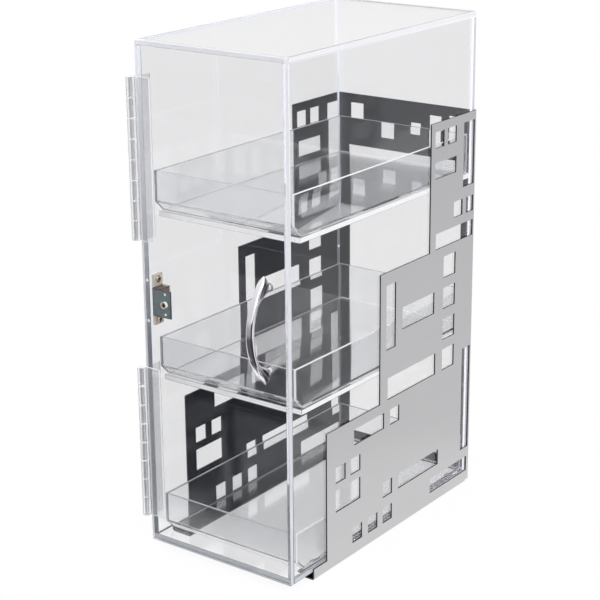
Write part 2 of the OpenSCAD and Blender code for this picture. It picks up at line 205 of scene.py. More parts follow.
PANE_TINT = (0.95, 0.95, 0.955)
# Painted light on the arrises: lines painted dark low on the case as shade, pale higher up and at the
# rear as highlight.
PAINTED_SHADE_LOW, PAINTED_LINE_HIGH = (0.10, 0.12, 0.15), (0.78, 0.79, 0.84)
PAINTED_LINE_REAR = (0.88, 0.88, 0.90)
LINE_WIDTH = 0.5 * MM
LINE_SHARE = 0.7
# Distances from a face between which a rim begins, or the skin of an end face stops.
RIM_START = (0.05 * MM, 0.4 * MM)
END_FACE = (0.05 * MM, 0.3 * MM)
RIM_ROUGH = 0.25
# The rims' emission is a painted glow, strongest on the rear end faces.
PAINTED_RIM_GLOW = 0.6
PAINTED_GLOW_SHARE, PAINTED_GLOW_SHARE_REAR = 0.3, 0.65
FROST, FROST_SHARE = (0.95, 0.94, 0.92), 0.9
FROST_BORDER, FROST_START = 0.3 * MM, 0.1 * MM
CLEAR_IOR = 1.49
CLEAR_SHADOW = (0.93, 0.93, 0.94)


def glass(finish, colour, rough, rim, rim_colour, glow=PAINTED_GLOW_SHARE):
    """Clear plastic that lets lamps shine through: a shadow ray passes it as if it were thin film.
    `rim` is the share of milky colour painted on a cut edge, in `rim_colour`, for the light that the edge
    gathers. It also has a painted glow by the share `glow`: an emission of `rim_colour` that stands for
    light coming through the sheet from its broad faces."""
    clear = finish.shade(Base_Color=colour, Roughness=rough, IOR=CLEAR_IOR, Transmission_Weight=1.0)
    milky = finish.shade(
        Base_Color=rim_colour,
        Roughness=RIM_ROUGH,
        IOR=CLEAR_IOR,
        Emission_Color=finish.blend(glow, BLACK, rim_colour),
        Emission_Strength=PAINTED_RIM_GLOW,
    )
    through = finish.add("ShaderNodeBsdfTransparent", None, {"Color": CLEAR_SHADOW})
    return finish.mix(finish.ray("Is Shadow Ray"), finish.mix(rim, clear, milky), through)


def second_least(values):
    """The second smallest of some distances. On a solid's skin the smallest is nought, so this is the
    distance to the nearest edge."""
    low, edge = values[0].least(values[1]), values[0].most(values[1])
    for value in values[2:]:
        edge = edge.least(low.most(value))
        low = low.least(value)
    return edge


def edges(finish, place, lo, hi):
    """Distances of a place in a box from the box's faces, one for each axis."""
    return [
        (high - low) / 2 - abs(spot - (low + high) / 2)
        for spot, low, high in zip(finish.parts(place), lo, hi)
    ]


def pane(name, lo, hi, rim, rim_share, line=PAINTED_LINE_HIGH, fade=None, bores=()):
    """Clear sheet between two corners: a faint tint, a painted milky rim with a painted glow that is most
    at the rear, and thin painted lines on its arrises, painted dark to the foot of the case as shade and
    pale to its rear as highlight. `fade` is (axis, low, high, colour): the rim has that colour, painted
    light or shade, up to `low` along the axis and its own from `high`. Each bore is (x, z, radius of its
    frost, y where it starts)."""
    finish = Finish(name)
    place = finish.place()
    x, y, z = finish.parts(place)
    gaps = edges(finish, place, lo, hi)
    thin_axis = int(np.argmin(np.subtract(hi, lo)))
    on_rim = gaps[thin_axis].ramp(*RIM_START)
    at_rear = 1 - (hi[1] - y).ramp(*END_FACE)
    on_line = 1 - second_least(gaps).ramp(LINE_WIDTH * 0.5, LINE_WIDTH)
    # The arris lines' colour is painted shade low down and painted highlight high up and at the rear.
    line_colour = finish.blend(z.ramp(cad_lo[2], cad_hi[2]), PAINTED_SHADE_LOW, line)
    line_colour = finish.blend(y.ramp(cad_lo[1], cad_hi[1]), line_colour, PAINTED_LINE_REAR)
    if fade:
        axis, low, high, colour = fade
        rim = finish.blend((x, y, z)[axis].ramp(low, high), colour, rim)
    colour = finish.blend(on_line, rim, line_colour)
    milky = (on_rim * rim_share).most(on_line * LINE_SHARE).most(on_rim * at_rear)
    wiped = finish.noise(place, 22.0, 3.0).ramp(0.35, 0.75)
    rough = 0.004 + 0.010 * wiped + 0.05 * on_rim
    for bore_x, bore_z, radius, start in bores:
        away = ((x - bore_x) * (x - bore_x) + (z - bore_z) * (z - bore_z)).root()
        frost = (1 - away.ramp(radius - FROST_BORDER, radius)) * y.ramp(start - FROST_START, start)
        colour = finish.blend(frost, colour, FROST)
        milky = milky.most(frost * FROST_SHARE)
        rough = rough + 0.4 * frost
    # Painted glow, most on the rear end face.
    glow = PAINTED_GLOW_SHARE + (PAINTED_GLOW_SHARE_REAR - PAINTED_GLOW_SHARE) * at_rear
    return finish.done(glass(finish, PANE_TINT, rough, milky, colour, glow))


door_left, door_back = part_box("door_panel")[0][0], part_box("door_panel")[1][1]
# Painted light and shade on parts of the rims: dark at the left wall's foot, whiter at the left of the
# back wall and the door and at the front of the top panel.
FOOT_PAINTED_SHADE = (Z, 170.0 * MM, 480.0 * MM, PAINTED_SHADE_LOW)
LEFT_PAINTED_LIGHT = (X, door_left + 1.0 * MM, door_left + 12.0 * MM, (0.99, 0.99, 1.0))
FRONT_PAINTED_LIGHT = (Y, door_back + 1.0 * MM, door_back + 1.2 * MM, (0.95, 0.95, 0.98))
CATCH_HEAD_R = 3.52 * MM
CATCH_BORE_R = 1.7 * MM
wall_lo, wall_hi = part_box("left_wall")
catch_low, catch_high = (corner[2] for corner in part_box("catch_screws"))
wall_bores = [
    ((wall_lo[0] + wall_hi[0]) / 2, height, CATCH_BORE_R, wall_lo[1])
    for height in (catch_low + CATCH_HEAD_R, catch_high - CATCH_HEAD_R)
]
# Each panel's rim colour, milky share and line colour paint how light falls on its edges: dark rims are
# painted shade, white ones painted highlight.
for node, rim, rim_share, line, fade in (
    ("left_wall", (0.93, 0.95, 1.0), 0.93, (0.22, 0.24, 0.29), FOOT_PAINTED_SHADE),
    ("right_wall", (0.85, 0.85, 0.9), 0.15, PAINTED_LINE_HIGH, None),
    ("back_wall", (0.45, 0.455, 0.485), 0.95, PAINTED_LINE_REAR, LEFT_PAINTED_LIGHT),
    ("top_panel", (0.63, 0.63, 0.65), 0.93, (0.42, 0.42, 0.45), FRONT_PAINTED_LIGHT),
    ("bottom_panel", (0.50, 0.52, 0.56), 0.75, PAINTED_LINE_HIGH, None),
    ("upper_shelf", WHITE, 0.98, PAINTED_LINE_HIGH, None),
    ("lower_shelf", WHITE, 0.98, PAINTED_LINE_HIGH, None),
):
    drilled = wall_bores if node == "left_wall" else ()
    dress(node, pane("clear_" + node, *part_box(node), rim, rim_share, line, fade, drilled))


# Steel wrap: one 1.5 mm stainless sheet, laser cut with square and oblong openings, bent round the back
# and in under the case. Its show face is brushed along the sheet, and its inner face is coloured a dark
# blue-grey as painted shade.

steel_lo, steel_hi = (np.array(corner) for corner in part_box("steel_wrap"))
STEEL_T = 1.5 * MM
BEND_OUT = 2.7 * MM
STEEL_BRIGHT = (0.635, 0.63, 0.64)
STEEL_DULL = (0.57, 0.565, 0.575)
# The inner face's near-black colour is painted shade.
STEEL_INSIDE_SHADE = (0.012, 0.019, 0.036)
STEEL_CUT = (0.085, 0.075, 0.07)
SHOW_FACE, INNER_FACE = (0.03 * STEEL_T, 0.07 * STEEL_T), (0.93 * STEEL_T, 0.97 * STEEL_T)


def brushed_steel():
    """The depth in the sheet is the bends' outer radius less the distance from a box that is smaller
    than the wrap by that radius. It tells the show face, the cuts and the inner face apart, in the
    bends too. The brush marks run level and differ in height and in tone."""
    finish = Finish("brushed_steel")
    place = finish.place()
    x, y, z = finish.parts(place)
    middle = (steel_lo[0] + steel_hi[0]) / 2
    reach = (steel_hi[0] - steel_lo[0]) / 2 - BEND_OUT
    corner = finish.add(
        "ShaderNodeCombineXYZ",
        None,
        {
            0: (abs(x - middle) - reach).most(0.0),
            1: (y - (steel_hi[1] - BEND_OUT)).most(0.0),
            2: ((steel_lo[2] + BEND_OUT) - z).most(0.0),
        },
    )
    depth = BEND_OUT - finish.add("ShaderNodeVectorMath", {"operation": "LENGTH"}, {0: corner}, "Value")
    inside = depth.ramp(*INNER_FACE)
    cut = depth.ramp(*SHOW_FACE) * (1 - inside)
    show = (1 - inside) * (1 - cut)
    hair = finish.noise(place, 900.0, 3.0, (0.02, 0.02, 1.0))
    streak = finish.noise(place, 260.0, 2.0, (0.03, 0.03, 1.0))
    cloud = finish.noise(place, 9.0, 2.0)
    bright = finish.blend(hair * 0.6 + streak * 0.4, STEEL_DULL, STEEL_BRIGHT)
    colour = finish.blend(cut, finish.blend(inside, bright, STEEL_INSIDE_SHADE), STEEL_CUT)
    rough = 0.28 + 0.08 * hair + 0.05 * cloud + 0.2 * inside + 0.2 * cut
    height = finish.bump(hair * show, 0.02 * MM, 0.5)
    return finish.done(
        finish.shade(
            Base_Color=colour, Roughness=rough, Metallic=1 - 0.3 * cut, Normal=height, Anisotropic=0.4
        )
    )


dress("steel_wrap", brushed_steel())


# Rubber feet: four moulded discs of soft black rubber, glued to the steel's flanges. The case's floor
# rests on them, clear of the steel.


def axes_of(direction):
    """Two unit vectors square to `direction` and to each other."""
    direction = np.array(direction, float)
    side = np.cross(direction, (0.0, 0.0, 1.0) if abs(direction[2]) < 0.9 else (0.0, 1.0, 0.0))
    side /= np.linalg.norm(side)
    return side, np.cross(direction, side)


def skin(rings):
    """Points and faces of a tube through closed rings, of shape (rings, points, 3), with both ends
    shut by one face each."""
    count, size = rings.shape[:2]
    start = np.arange(count - 1)[:, None] * size + np.arange(size)[None]
    turn = np.arange(count - 1)[:, None] * size + np.roll(np.arange(size), -1)[None]
    sides = np.stack([start, turn, turn + size, start + size], -1).reshape(-1, 4)
    ends = [list(range(size)), list(range((count - 1) * size, count * size))]
    return rings.reshape(-1, 3), sides.tolist() + ends


def turned(centre, direction, profile, segments=48):
    """Points and faces of a turned solid: each (radius, distance) of the profile is a ring round the
    axis, at that distance from the centre along it."""
    side, other = axes_of(direction)
    angle = np.linspace(0, 2 * np.pi, segments, endpoint=False)
    circle = np.cos(angle)[:, None] * side + np.sin(angle)[:, None] * other
    radius, along = np.array(profile, float).T
    rings = radius[:, None, None] * circle + along[:, None, None] * np.array(direction, float)
    return skin(np.array(centre, float) + rings)


def piece(name, shells, material, body, stands_for, crease=32.0):
    """One mesh object from several closed shells, with its faces turned outwards and its place on a
    CAD body. `stands_for` is the CAD node that it replaces. A shell's third part, where it has one,
    marks its points from 0 to 1 as deep in a recess or on a fin's side, for painted shade."""
    points, faces, count = [], [], 0
    for shell_points, shell_faces, *_ in shells:
        points.append(shell_points)
        faces += [[k + count for k in face] for face in shell_faces]
        count += len(shell_points)
    mesh = bpy.data.meshes.new(name)
    mesh.from_pydata(np.concatenate(points).tolist(), [], faces)
    work = bmesh.new()
    work.from_mesh(mesh)
    bmesh.ops.recalc_face_normals(work, faces=work.faces)
    work.to_mesh(mesh)
    work.free()
    mesh.shade_smooth()
    mesh.set_sharp_from_angle(angle=math.radians(crease))
    mesh.materials.append(material)
    if len(shells[0]) == 3:
        recess = mesh.attributes.new("recess", "FLOAT", "POINT")
        recess.data.foreach_set("value", np.concatenate([shell[2] for shell in shells]))
    made = bpy.data.objects.new(name, mesh)
    bpy.context.scene.collection.objects.link(made)
    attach(made, body)
    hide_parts(stands_for)
    return made


def rubber():
    finish = Finish("foot_rubber")
    grain = finish.noise(finish.place(), 2200.0, 3.0)
    dust = finish.noise(finish.place(), 160.0, 2.0).ramp(0.45, 0.8)
    colour = finish.blend(dust, (0.012, 0.012, 0.013), (0.03, 0.03, 0.031))
    return finish.done(
        finish.shade(
            Base_Color=colour,
            Roughness=0.62 + 0.2 * grain,
            Normal=finish.bump(grain, 0.03 * MM, 0.6),
            Specular_IOR_Level=0.4,
        )
    )


feet_lo, feet_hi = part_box("bumper_feet")
FOOT_R, FOOT_DRAWN_H = 6.0 * MM, 6.6 * MM
foot_h = feet_hi[2] - feet_lo[2]
foot_profile = np.array(
    [(0.2, 0), (5.3, 0), (5.75, 0.15), (6.0, 0.6), (5.9, 2.0)]
    + [(5.7, 4.4), (5.5, 6.0), (5.2, 6.45), (4.8, 6.58), (0.2, 6.58)]
) * MM
foot_profile[:, 1] *= foot_h / FOOT_DRAWN_H
foot_shells = [
    turned((x, y, feet_lo[2]), (0, 0, 1), foot_profile)
    for x in (feet_lo[0] + FOOT_R, feet_hi[0] - FOOT_R)
    for y in (feet_lo[1] + FOOT_R, feet_hi[1] - FOOT_R)
]
piece("rubber_feet", foot_shells, rubber(), "case", "bumper_feet")


# Trays: three of thin clear acrylic. Each is one sheet folded hot into a lip, a sloping corner, a floor
# and a rear lip, with a side panel glued to each end of it.

TRAY_T = 2.5 * MM
TRAY_CORNER = 10.0 * MM
BEND_R = 3.6 * MM
TRAY_TINT = (0.94, 0.945, 0.955)
# Painted light on the trays' edges: grey rims, a lit right side panel and a dark line on the arrises.
TRAY_RIM, TRAY_RIM_LIT_RIGHT = (0.62, 0.62, 0.68), (0.98, 0.98, 1.0)
TRAY_PAINTED_LINE = (0.16, 0.155, 0.19)
TRAY_RIM_SHARE, TRAY_RIM_SHARE_LIT_RIGHT = 0.6, 0.95
TRAY_RIM_START = (0.1 * MM, 0.5 * MM)
GLUE_GAP = 0.02 * MM
ARRIS = 0.3 * MM


def folded(corners, radius, steps=8):
    """Points and unit normals along a line through `corners`, with each inner corner rounded by an arc
    of that radius that touches both its sides. The normals point to the line's left."""
    corners = np.array(corners, float)
    ways = np.diff(corners, axis=0)
    ways /= np.linalg.norm(ways, axis=1)[:, None]
    lefts = np.stack([-ways[:, 1], ways[:, 0]], -1)
    points, normals = [corners[:1]], [lefts[:1]]
    for corner, way, left, way_on, left_on in zip(corners[1:-1], ways, lefts, ways[1:], lefts[1:]):
        turn = math.acos(np.clip(way @ way_on, -1, 1))
        back = radius * math.tan(turn / 2)
        share = np.linspace(0, 1, steps)[:, None]
        normal = np.sin((1 - share) * turn) * left + np.sin(share * turn) * left_on
        normal /= np.linalg.norm(normal, axis=1)[:, None]
        points.append(corner - way * back + radius * left - radius * normal)
        normals.append(normal)
    points.append(corners[-1:])
    normals.append(lefts[-1:])
    return np.concatenate(points), np.concatenate(normals)


def across(outline, left, right):
    """A flat outline of (y, z) carried across from x = left to x = right."""
    rings = np.empty((2, len(outline), 3))
    rings[:, :, 0] = np.array([left, right])[:, None]
    rings[:, :, 1:] = outline[None]
    return skin(rings)


def tray_plastic(name, lo, hi):
    """Clear sheet with painted light on its edges: milky on the side panels' rims, most on the right one,
    which is painted lit, and on the tops of the lips, with a painted dark line on the side panels'
    arrises. Places are told apart by their distance from the tray's ends and from its outline seen from
    the side, which has the sloping corner."""
    finish = Finish(name)
    x, y, z = finish.parts(finish.place())
    end = (hi[0] - lo[0]) / 2 - abs(x - (lo[0] + hi[0]) / 2)
    front, rear, top, bottom = y - lo[1], hi[1] - y, hi[2] - z, z - lo[2]
    slope = (front + bottom - TRAY_CORNER) * math.sqrt(0.5)
    outline = abs(front.least(rear).least(bottom).least(slope))
    side_panel = 1 - end.ramp(TRAY_T - 0.05 * MM, TRAY_T + 0.05 * MM)
    side_gap = end.least(abs(end - TRAY_T))
    sheet_gap = outline.least(abs(outline - TRAY_T))
    side_rim = side_gap.ramp(*TRAY_RIM_START) * side_panel
    lip_rim = sheet_gap.ramp(*TRAY_RIM_START) * (1 - top.ramp(*END_FACE))
    on_rim = side_rim.most(lip_rim)
    side_line = 1 - second_least([side_gap, outline, top]).ramp(LINE_WIDTH * 0.5, LINE_WIDTH)
    right = side_panel * x.ramp(0.0, hi[0])
    milky = (on_rim * TRAY_RIM_SHARE).most(side_line * side_panel * LINE_SHARE)
    # The right side panel's rim is painted lit.
    milky = milky.most((on_rim * right) * TRAY_RIM_SHARE_LIT_RIGHT)
    rim_colour = finish.blend(side_line * side_panel, TRAY_RIM, TRAY_PAINTED_LINE)
    rim_colour = finish.blend(right, rim_colour, TRAY_RIM_LIT_RIGHT)
    return finish.done(glass(finish, TRAY_TINT, 0.008 + 0.1 * on_rim, milky, rim_colour))


for tray in ("upper_tray", "middle_tray", "lower_tray"):
    body = tray + "_body"
    lo, hi = (np.array(corner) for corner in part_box(tray + "_sides"))
    sheet_lo, sheet_hi = (np.array(corner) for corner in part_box(tray))
    corners = [
        (lo[1], hi[2]),
        (lo[1], lo[2] + TRAY_CORNER),
        (lo[1] + TRAY_CORNER, lo[2]),
        (hi[1], lo[2]),
        (hi[1], hi[2]),
    ]
    path, normal = folded(corners, BEND_R)
    plastic = tray_plastic("clear_" + tray, lo, hi)
    sheet_outline = np.concatenate([path, (path + TRAY_T * normal)[::-1]])
    parts = [across(sheet_outline, sheet_lo[0] + GLUE_GAP, sheet_hi[0] - GLUE_GAP)]
    sheet = piece(tray + "_sheet", parts, plastic, body, tray)
    parts = [across(path, x, x + TRAY_T) for x in (lo[0], hi[0] - TRAY_T)]
    ends = piece(tray + "_ends", parts, plastic, body, tray + "_sides")
    for made in (sheet, ends):
        arris = made.modifiers.new("polished_arris", "BEVEL")
        arris.width, arris.segments = ARRIS, 2
        arris.limit_method, arris.angle_limit = "ANGLE", math.radians(50)


# Door: one 5 mm acrylic panel over the whole front, with polished edges. Its drilled bores, two for the
# handle's screws and a sunk one for the strike plate's, keep the white frost of the drill, and so do the
# two dimples behind the strike plate's small holes.

PULL_BORE_OFFSET, DIMPLE_OFFSET = 38.0 * MM, 9.7 * MM
PULL_BORE_R, STRIKE_BORE_R, DIMPLE_R = 2.5 * MM, 3.2 * MM, 1.25 * MM
DIMPLE_DEPTH = 0.2 * MM

door_lo, door_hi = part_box("door_panel")
bores = []
strike_middle = (np.array(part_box("strike_screw")[0]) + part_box("strike_screw")[1]) / 2
handle_middle = (np.array(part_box("handle_screws")[0]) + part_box("handle_screws")[1]) / 2
for middle, offset, radius, start in (
    (handle_middle, PULL_BORE_OFFSET, PULL_BORE_R, door_lo[1]),
    (strike_middle, 0.0, STRIKE_BORE_R, door_lo[1]),
    (strike_middle, DIMPLE_OFFSET, DIMPLE_R, door_hi[1] - DIMPLE_DEPTH),
):
    for side in (-1, 1) if offset else (0,):
        bores.append((middle[0], middle[2] + side * offset, radius, start))
# The door's grey rim is painted shade, whitened towards its left by painted light.
door_plastic = pane("clear_door", door_lo, door_hi, (0.52, 0.52, 0.56), 0.85, fade=LEFT_PAINTED_LIGHT, bores=bores)
dress("door_panel", door_plastic)


# Hinges: two long clear plastic piano hinges. Each leaf is moulded with its knuckles and glued on, one
# to the left wall and one to the door, and a bright steel pin runs through both.

KNUCKLE_D = 7.8 * MM
KNUCKLE_COUNT = 8
KNUCKLE_GAP = (0.478, 0.490)
# The leaves' edges are painted light: milky and glowing.
HINGE_LIT_EDGE = (0.78, 0.78, 0.80)
HINGE_LIT_EDGE_SHARE, HINGE_HAZE = 0.85, 0.10


def hinge_plastic(name, lo, hi, free):
    """Clear leaf with painted light, milky and glowing, on its free edge across the axis `free`, on its
    two ends and on the faces between the knuckles, which come at even steps along it."""
    finish = Finish(name)
    place = finish.place()
    x, y, z = finish.parts(place)
    along = (z - lo[2]) / ((hi[2] - lo[2]) / KNUCKLE_COUNT)
    step = abs(along.math("FRACT", along) - 0.5)
    by_pin = 1 - (x - lo[0]).most(y - lo[1]).ramp(KNUCKLE_D * 0.98, KNUCKLE_D)
    joint = step.ramp(*KNUCKLE_GAP) * by_pin
    end = 1 - (z - lo[2]).least(hi[2] - z).ramp(*END_FACE)
    edge = 1 - (hi[free] - (x, y)[free]).ramp(*END_FACE)
    flow = finish.noise(place, 90.0, 2.0, (1.0, 1.0, 0.25))
    cloudy = finish.noise(place, 30.0, 2.0)
    colour = finish.blend(flow, (0.84, 0.85, 0.86), (0.93, 0.93, 0.94))
    rough = 0.05 + 0.12 * flow.ramp(0.4, 0.8) + 0.05 * cloudy
    milky = (HINGE_LIT_EDGE_SHARE * joint.most(end).most(edge)).most(HINGE_HAZE)
    return finish.done(glass(finish, colour, rough, milky, HINGE_LIT_EDGE))


def pin_steel():
    finish = Finish("pin_steel")
    drawn = finish.noise(finish.place(), 1200.0, 2.0, (1.0, 1.0, 0.03))
    colour = finish.blend(drawn, (0.86, 0.86, 0.87), (0.95, 0.95, 0.95))
    return finish.done(finish.shade(Base_Color=colour, Roughness=0.2 + 0.12 * drawn, Metallic=1.0))


bright_pin = pin_steel()
for level in ("upper", "lower"):
    for leaf, free in (("_hinge_wall_leaf", Y), ("_hinge_door_leaf", X)):
        dress(level + leaf, hinge_plastic("clear_" + level + leaf, *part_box(level + leaf), free))
    dress(level + "_hinge_pin", bright_pin)


# Handle: a cast bow pull, polished and chromed. Its flat bow has soft corners, and each end widens into
# a fluted fin that stands on the door and runs out to a free point. Its sizes are in millimetres.

handle_lo, handle_hi = (np.array(corner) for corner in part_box("handle"))
HANDLE_HALF = 49.9
BOW_OUT_R = 65.76
BOW_CENTRE = 38.86
BOW_T = 5.2
BOW_HALF_W, FIN_WIDER = 3.6, 0.2
BOW_CORNER, FIN_CORNER = 3.3, 3.8
FIN_START, FIN_IN, FIN_OUT = 26.0, 36.0, 42.0
FAN_Z, FAN_Y = 22.0, -21.0
FLUTE_START, FLUTES, FLUTE_DEPTH = 27.0, 38, 0.17
TIP_START, TIP_TAPER = 43.0, 0.88
TIP_Y = -3.9
TIP_T = 0.06
DOOR_CLEAR = 0.05
SWEEP_POWER, RISE_POWER, TAPER_POWER = 1.9, 1.4, 1.7
BOW_RINGS, BOW_SIDES = 361, 160


def ease(value, low, high):
    """0 up to `low`, 1 from `high` and a smooth cubic step between them."""
    share = np.clip((value - low) / (high - low), 0, 1)
    return share * share * (3 - 2 * share)


def bow_pull():
    """Rings at heights z, close together at the tips. Each is a rounded oblong between a front curve
    and a back curve. The front is the bow's outer circle. The back is its inner circle, which sweeps
    down to the door at each fin, runs along the fin's pad and rises again to the tip, clear of the
    door. The flutes are a cosine of the angle round a point in the bow's neck, so they fan out over
    the fin's two sides, and they fade out to its front and back edges."""
    z = HANDLE_HALF * np.sin(np.linspace(-np.pi / 2, np.pi / 2, BOW_RINGS))[1:-1]
    far = np.abs(z)
    front = BOW_CENTRE - np.sqrt(BOW_OUT_R**2 - z * z)
    inner = BOW_CENTRE - np.sqrt((BOW_OUT_R - BOW_T) ** 2 - z * z)
    sweep = np.clip((far - FIN_START) / (FIN_IN - FIN_START), 0, 1)
    back = np.minimum(inner * (1 - sweep**SWEEP_POWER), -DOOR_CLEAR)
    rise = np.clip((far - FIN_OUT) / (HANDLE_HALF - FIN_OUT), 0, 1)
    back = back + (TIP_Y + DOOR_CLEAR) * rise**RISE_POWER
    front = np.minimum(front, back - TIP_T)
    tip = np.clip((far - TIP_START) / (HANDLE_HALF - TIP_START), 0, 1)
    fin = ease(far, FIN_START, FIN_IN)
    half_w = (BOW_HALF_W + FIN_WIDER * fin) * (1 - TIP_TAPER * tip**TAPER_POWER)
    angle = np.linspace(0, 2 * np.pi, BOW_SIDES, endpoint=False)
    cos, sin = np.cos(angle)[None], np.sin(angle)[None]
    power = 2 / (BOW_CORNER + (FIN_CORNER - BOW_CORNER) * fin[:, None])
    wide = np.sign(cos) * np.abs(cos) ** power
    deep = np.sign(sin) * np.abs(sin) ** power
    y = (front + back)[:, None] / 2 + (back - front)[:, None] / 2 * deep
    fan = np.arctan2(y - FAN_Y, far[:, None] - FAN_Z)
    side = np.abs(wide) ** 3 * (1 - np.abs(deep) ** 3) * ease(far, FLUTE_START, FIN_IN)[:, None]
    flute = (0.5 - 0.5 * np.cos(FLUTES * fan)) * side * (1 - 0.7 * tip[:, None])
    x = half_w[:, None] * wide * (1 - FLUTE_DEPTH * flute)
    rings = np.stack([x, y, np.broadcast_to(z[:, None], x.shape)], -1) * MM
    middle = (handle_lo + handle_hi) / 2
    # The mark for the painted shade: the flutes and the fins' two sides.
    return *skin(rings + np.array([middle[0], door_lo[1], middle[2]])), (flute + side).ravel() / 2


def chrome():
    finish = Finish("polished_chrome")
    place = finish.place()
    haze = finish.noise(place, 60.0, 2.0)
    fine = finish.noise(place, 1500.0, 2.0, (1.0, 1.0, 0.1))
    deep = finish.mark("recess").ramp(0.1, 0.9)
    colour = finish.blend(haze, (0.82, 0.81, 0.84), (0.90, 0.89, 0.91))
    # Painted shade and painted reflection: the flutes and the fins' sides are coloured near black.
    colour = finish.blend(deep, colour, (0.07, 0.07, 0.08))
    rough = 0.04 + 0.04 * haze.ramp(0.4, 0.8) + 0.02 * fine
    return finish.done(finish.shade(Base_Color=colour, Roughness=rough, Metallic=1.0))


piece("bow_pull", [bow_pull()], chrome(), "door", "handle", crease=60.0)


# Screws: plated steel with a cross recess. Two with domed heads go from inside the door into the handle,
# two through the catch bracket's ears, and a sunk one from outside the door into the strike plate.

SCREW_SIDES = 64
DOME_FALL, DOME_POWER = 0.62, 2.4
ARM_HALF_W, ARM_REACH = 0.15, 0.58
ARM_SLOPE, REACH_SLOPE = 1.6, 1.2
RING_STEP, THREAD_PITCH, THREAD_DEPTH = 0.18, 0.45, 0.07


def cross_screw(centre, direction, head_r, head_h, pit, shank_r, length, sink, turn):
    """A head of rings round the axis, whose height falls with a power of the radius and has a
    cross-shaped pit, and a shank whose radius is a cosine of the depth, for its thread. A sunk head
    narrows to the shank over the length `sink`. The centre is on the axis at the head's rim. Points
    in the pit are marked by its depth there."""
    side, other = axes_of(direction)
    angle = np.linspace(0, 2 * np.pi, SCREW_SIDES, endpoint=False)
    radius = np.concatenate([np.linspace(0.02, 0.92, 22), [0.97, 1.0, 1.0]]) * head_r
    across_x = radius[:, None] * np.cos(angle + turn)[None]
    across_y = radius[:, None] * np.sin(angle + turn)[None]
    dome = 1 - DOME_FALL * (radius / head_r) ** DOME_POWER
    height = head_h * dome[:, None] * np.ones_like(across_x)
    arm, reach = ARM_HALF_W * head_r, ARM_REACH * head_r
    in_x, in_y = (1 - ease(np.abs(spot), arm, arm * ARM_SLOPE) for spot in (across_x, across_y))
    by_x, by_y = (1 - ease(np.abs(spot), reach, reach * REACH_SLOPE) for spot in (across_x, across_y))
    cross = np.maximum(in_x * by_y, in_y * by_x)
    height -= pit * cross
    height[-1] = 0.0
    down = np.arange(sink, length, RING_STEP * shank_r)
    wave = np.cos(2 * np.pi * (down - sink) / (THREAD_PITCH * shank_r))
    thread = shank_r * (1 - THREAD_DEPTH + THREAD_DEPTH * wave)
    thread[-1] *= 0.6
    radius = np.concatenate([radius, thread])
    height = np.concatenate([height, -np.repeat(down[:, None], SCREW_SIDES, 1)])
    circle = np.cos(angle)[:, None] * side + np.sin(angle)[:, None] * other
    rings = radius[:, None, None] * circle + height[..., None] * np.array(direction, float)
    # The pit's depth marks the painted shade.
    marks = np.concatenate([cross, np.zeros((len(down), SCREW_SIDES))]).ravel()
    return *skin(np.array(centre, float) + rings), marks


def plated(name, pale, dark, pit, rough):
    """Plated steel, mottled by wear, with painted shade that darkens the cross recess."""
    finish = Finish(name)
    worn = finish.noise(finish.place(), 420.0, 3.0)
    deep = finish.mark("recess").ramp(0.3, 0.8)
    # The pit colour is painted shade in the cross recess.
    colour = finish.blend(deep, finish.blend(worn.ramp(0.3, 0.75), pale, dark), pit)
    rough = rough + 0.12 * worn + 0.3 * deep
    return finish.done(finish.shade(Base_Color=colour, Roughness=rough, Metallic=1.0))


# The third colour of each plating is painted shade in the cross recess.
bright_plate = plated("screw_bright", (0.66, 0.65, 0.62), (0.45, 0.44, 0.42), (0.05, 0.045, 0.04), 0.16)
yellow_plate = plated("screw_yellow", (0.85, 0.74, 0.56), (0.50, 0.39, 0.25), (0.03, 0.02, 0.014), 0.14)


def screws(name, direction, sizes, finish, body, turns):
    """Screws where the CAD node of that name less its last word has them: at both ends of its height
    if there are two turns, else one. The sizes are the head's radius and height, the recess's depth,
    the shank's radius and the depth of a sunk head."""
    head_r, head_h, pit, shank_r, sink = sizes
    node = name[: name.rindex("_")]
    lo, hi = (np.array(corner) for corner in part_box(node))
    axis, way = int(np.argmax(np.abs(direction))), sum(direction)
    ends = (lo[2] + head_r, hi[2] - head_r) if len(turns) == 2 else ((lo[2] + hi[2]) / 2,)
    centre = (lo + hi) / 2
    centre[axis] = hi[axis] - head_h if way > 0 else lo[axis] + head_h
    length = hi[axis] - lo[axis] - head_h
    shells = []
    for height, turn in zip(ends, turns):
        centre[2] = height
        shells.append(
            cross_screw(centre.copy(), direction, head_r, head_h, pit, shank_r, length, sink, turn)
        )
    piece(name, shells, finish, body, node)


HANDLE_SCREW = (4.0 * MM, 2.6 * MM, 1.6 * MM, 2.0 * MM, 0.0)
CATCH_SCREW = (CATCH_HEAD_R, 2.0 * MM, 1.3 * MM, 1.6 * MM, 0.0)
STRIKE_SCREW = (2.88 * MM, 0.2 * MM, 1.0 * MM, 1.6 * MM, 1.28 * MM)
screws("handle_screws_pair", (0, 1, 0), HANDLE_SCREW, bright_plate, "door", (0.3, 1.1))
screws("catch_screws_pair", (1, 0, 0), CATCH_SCREW, yellow_plate, "case", (0.6, 0.1))
screws("strike_screw_sunk", (0, -1, 0), STRIKE_SCREW, yellow_plate, "door", (0.7,))


# Catch: a cream plastic bracket on the left wall holds a magnet between two lacquered steel plates,
# which pull on a zinc-plated strike plate on the door.


def cream_plastic():
    finish = Finish("cream_plastic")
    place = finish.place()
    mould = finish.noise(place, 900.0, 3.0)
    shade = finish.noise(place, 60.0, 2.0)
    colour = finish.blend(shade, (0.84, 0.77, 0.69), (0.92, 0.87, 0.81))
    return finish.done(
        finish.shade(
            Base_Color=colour,
            Roughness=0.35 + 0.15 * mould,
            Normal=finish.bump(mould, 0.02 * MM, 0.4),
            Subsurface_Weight=0.15,
            Subsurface_Radius=(0.002, 0.0016, 0.001),
        )
    )


